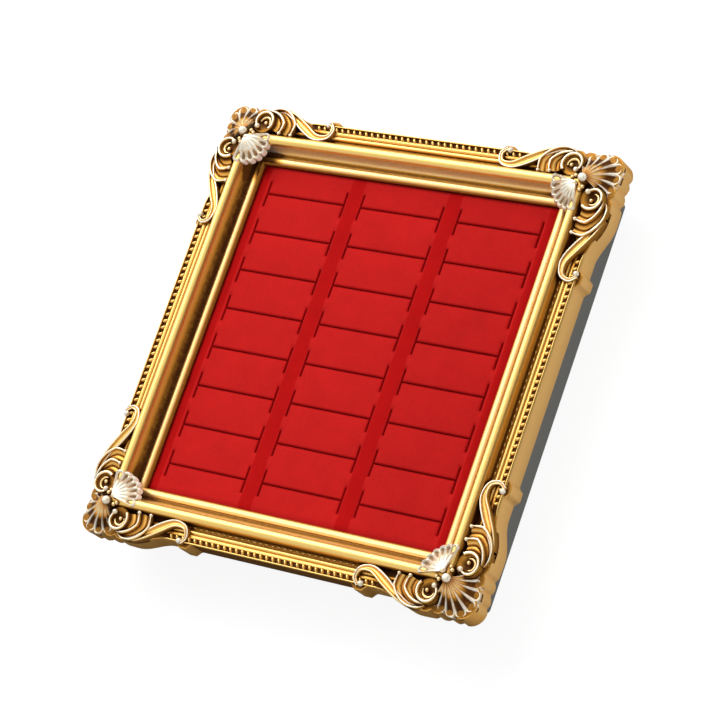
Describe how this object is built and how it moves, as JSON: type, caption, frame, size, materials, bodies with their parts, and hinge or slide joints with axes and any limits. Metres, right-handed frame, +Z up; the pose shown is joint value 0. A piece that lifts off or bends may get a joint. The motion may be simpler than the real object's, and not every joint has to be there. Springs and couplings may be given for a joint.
{
  "type": "jewelry display stand",
  "caption": "Square ring display: a slotted velvet cushion in a gilded, carved frame with a plain grey box behind, lying on its back.",
  "frame": {"origin": "middle of the underside of the grey back box", "axes": "+Z up, out of the velvet's face; +Y towards the top edge of the frame; +X along the slots, to the right as seen from above"},
  "size_m": [0.265, 0.268, 0.0474],
  "materials": {
    "gilded_resin": "antique gold leaf look on cast resin, brown patina in the hollows, pale worn rims",
    "red_velvet": "short-pile velvet",
    "cushion_foam": "soft open-cell foam",
    "card": "plain pressed card",
    "grey_box": "fine matt grain",
    "screw_steel": "zinc plated"
  },
  "bodies": {
    "root": {"frame": "gilded_resin", "velvet_cover": "red_velvet", "foam_pad": "cushion_foam", "pad_card": "card", "back_box": "grey_box", "box_screws": "screw_steel"}
  },
  "joints": []
}
